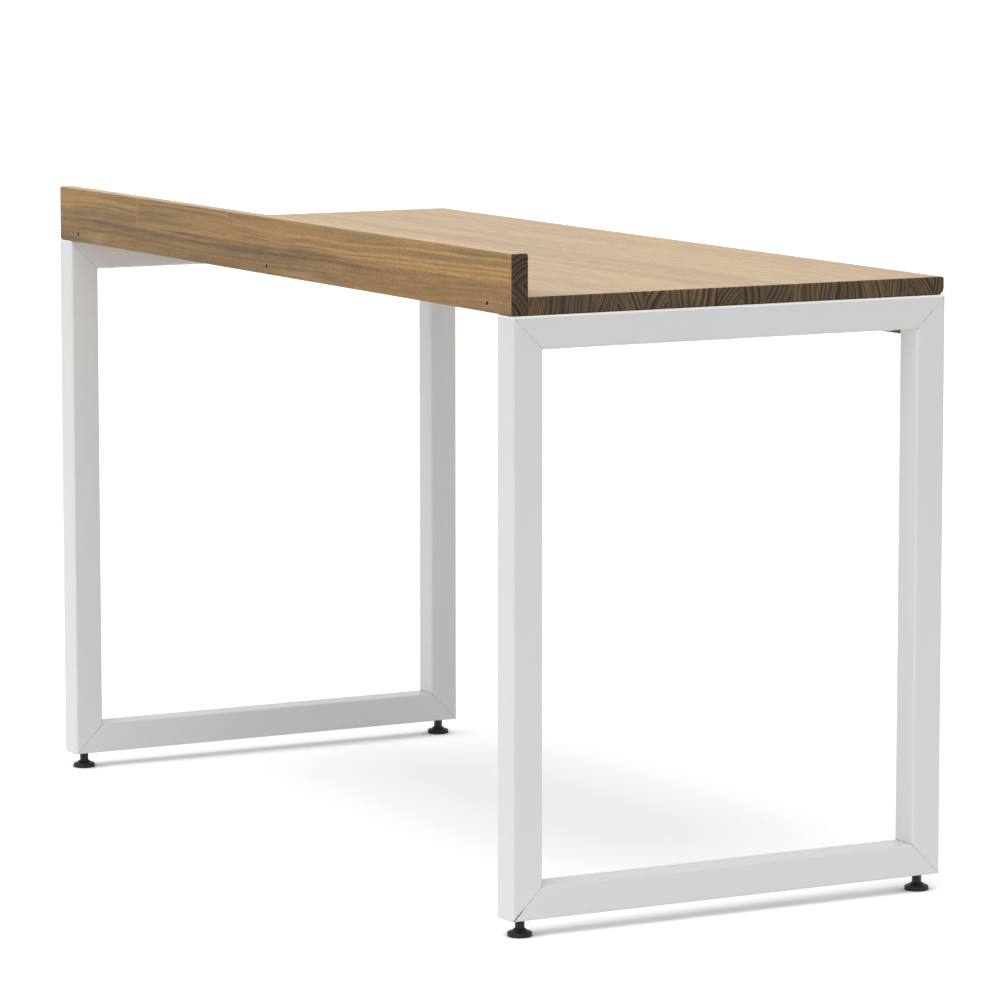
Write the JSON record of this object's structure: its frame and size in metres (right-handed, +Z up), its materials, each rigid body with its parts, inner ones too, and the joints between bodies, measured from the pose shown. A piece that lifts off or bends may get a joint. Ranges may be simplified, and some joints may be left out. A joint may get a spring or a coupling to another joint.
{
  "type": "office desk",
  "caption": "Writing desk with a glued pine top and low rear upstand on mitred square-tube loop frames, standing on screw-adjusted feet.",
  "frame": {"origin": "on the floor, under the middle of the desk's outline", "axes": "+X to the seated user's right along the desk, +Y to the rear upstand, +Z up"},
  "size_m": [1.3, 0.6, 0.811],
  "materials": {
    "white_paint": "satin white powder coat",
    "pine": "stained and waxed pine, satin",
    "black_plastic": "moulded, matt",
    "zinc_steel": "bright zinc plate"
  },
  "bodies": {
    "desk": {"left_frame_front_leg": "white_paint", "left_frame_rear_leg": "white_paint", "left_frame_top_rail": "white_paint", "left_frame_bottom_rail": "white_paint", "right_frame_front_leg": "white_paint", "right_frame_rear_leg": "white_paint", "right_frame_top_rail": "white_paint", "right_frame_bottom_rail": "white_paint", "top_stave_01": "pine", "top_stave_02": "pine", "top_stave_03": "pine", "top_stave_04": "pine", "top_stave_05": "pine", "top_stave_06": "pine", "top_stave_07": "pine", "top_stave_08": "pine", "top_stave_09": "pine", "top_stave_10": "pine", "top_stave_11": "pine", "top_stave_12": "pine", "top_stave_13": "pine", "top_stave_14": "pine", "top_stave_15": "pine", "top_stave_16": "pine", "top_stave_17": "pine", "top_stave_18": "pine", "upstand_lower_stave": "pine", "upstand_upper_stave": "pine", "front_batten": "pine", "left_rail_screws": "zinc_steel", "right_rail_screws": "zinc_steel", "batten_screws": "zinc_steel", "upstand_screws": "zinc_steel", "front_left_foot_nut": "zinc_steel", "rear_left_foot_nut": "zinc_steel", "front_right_foot_nut": "zinc_steel", "rear_right_foot_nut": "zinc_steel"},
    "front_left_pad": {"front_left_foot_pad": "black_plastic"},
    "front_left_stem": {"front_left_foot_collar": "black_plastic", "front_left_foot_stud": "zinc_steel"},
    "rear_left_pad": {"rear_left_foot_pad": "black_plastic"},
    "rear_left_stem": {"rear_left_foot_collar": "black_plastic", "rear_left_foot_stud": "zinc_steel"},
    "front_right_pad": {"front_right_foot_pad": "black_plastic"},
    "front_right_stem": {"front_right_foot_collar": "black_plastic", "front_right_foot_stud": "zinc_steel"},
    "rear_right_pad": {"rear_right_foot_pad": "black_plastic"},
    "rear_right_stem": {"rear_right_foot_collar": "black_plastic", "rear_right_foot_stud": "zinc_steel"}
  },
  "joints": [
    {"name": "front_left_travel", "type": "slide", "parent": "desk", "child": "front_left_pad", "axis": [0, 0, -1], "range_m": [-0.0008, 0.018]},
    {"name": "front_left_turn", "type": "hinge", "parent": "front_left_pad", "child": "front_left_stem", "pos_m": [-0.63, -0.28, 0], "axis": [0, 0, -1], "range_deg": [-230.4, 5184]},
    {"name": "rear_left_travel", "type": "slide", "parent": "desk", "child": "rear_left_pad", "axis": [0, 0, -1], "range_m": [-0.0008, 0.018]},
    {"name": "rear_left_turn", "type": "hinge", "parent": "rear_left_pad", "child": "rear_left_stem", "pos_m": [-0.63, 0.28, 0], "axis": [0, 0, -1], "range_deg": [-230.4, 5184]},
    {"name": "front_right_travel", "type": "slide", "parent": "desk", "child": "front_right_pad", "axis": [0, 0, -1], "range_m": [-0.0008, 0.018]},
    {"name": "front_right_turn", "type": "hinge", "parent": "front_right_pad", "child": "front_right_stem", "pos_m": [0.63, -0.28, 0], "axis": [0, 0, -1], "range_deg": [-230.4, 5184]},
    {"name": "rear_right_travel", "type": "slide", "parent": "desk", "child": "rear_right_pad", "axis": [0, 0, -1], "range_m": [-0.0008, 0.018]},
    {"name": "rear_right_turn", "type": "hinge", "parent": "rear_right_pad", "child": "rear_right_stem", "pos_m": [0.63, 0.28, 0], "axis": [0, 0, -1], "range_deg": [-230.4, 5184]}
  ],
  "couplings": [
    {"joint": "front_left_turn", "follows": "front_left_travel", "rad_per_m": 5026.5},
    {"joint": "rear_left_turn", "follows": "rear_left_travel", "rad_per_m": 5026.5},
    {"joint": "front_right_turn", "follows": "front_right_travel", "rad_per_m": 5026.5},
    {"joint": "rear_right_turn", "follows": "rear_right_travel", "rad_per_m": 5026.5}
  ]
}
